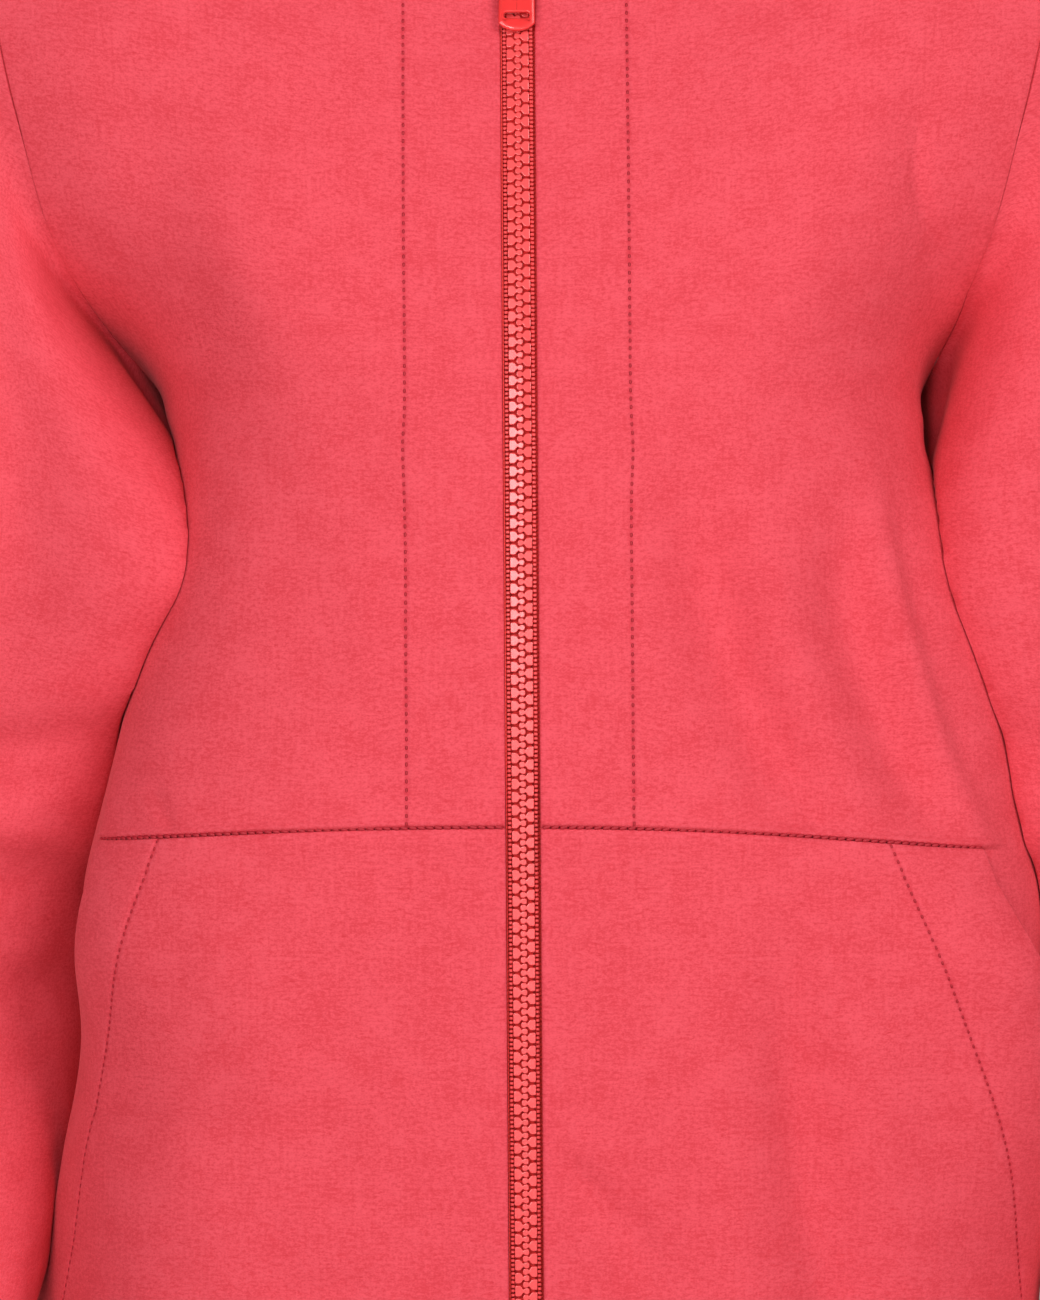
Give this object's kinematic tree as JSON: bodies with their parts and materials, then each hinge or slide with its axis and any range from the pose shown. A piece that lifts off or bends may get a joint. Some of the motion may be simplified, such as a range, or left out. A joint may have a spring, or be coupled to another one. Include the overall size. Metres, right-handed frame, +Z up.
{
  "type": "zip-front sweatshirt",
  "caption": "Zip-front sweatshirt of plain jersey, filled out as if worn, with long sleeves, slanted front pockets and a pull tab that swings.",
  "frame": {"origin": "the middle of the neck, level with the highest points of the shoulders", "axes": "+Z up, the front faces -Y, and +X is the wearer's left"},
  "size_m": [0.5507, 0.23, 0.6611],
  "materials": {
    "jersey": "smooth firm jersey with a faint mottle, matt",
    "zip_tape": "woven tape, matt",
    "zip_plastic": "moulded plastic, satin",
    "zip_metal": "glossy lacquer"
  },
  "bodies": {
    "garment": {"front_right": "jersey", "front_left": "jersey", "back": "jersey", "sleeve_right": "jersey", "sleeve_left": "jersey", "pocket_right": "jersey", "pocket_left": "jersey", "neckband": "jersey", "tape_right": "zip_tape", "tape_left": "zip_tape", "zip_chain": "zip_plastic", "zip_box": "zip_plastic", "stop_right": "zip_plastic", "stop_left": "zip_plastic", "slider": "zip_metal"},
    "pull_tab": {"pull_tab": "zip_metal"}
  },
  "joints": [
    {"name": "tab_swing", "type": "hinge", "parent": "garment", "child": "pull_tab", "pos_m": [-0.00109, -0.08335, -0.11282], "axis": [-1, 0, 0], "range_deg": [0, 160]}
  ]
}
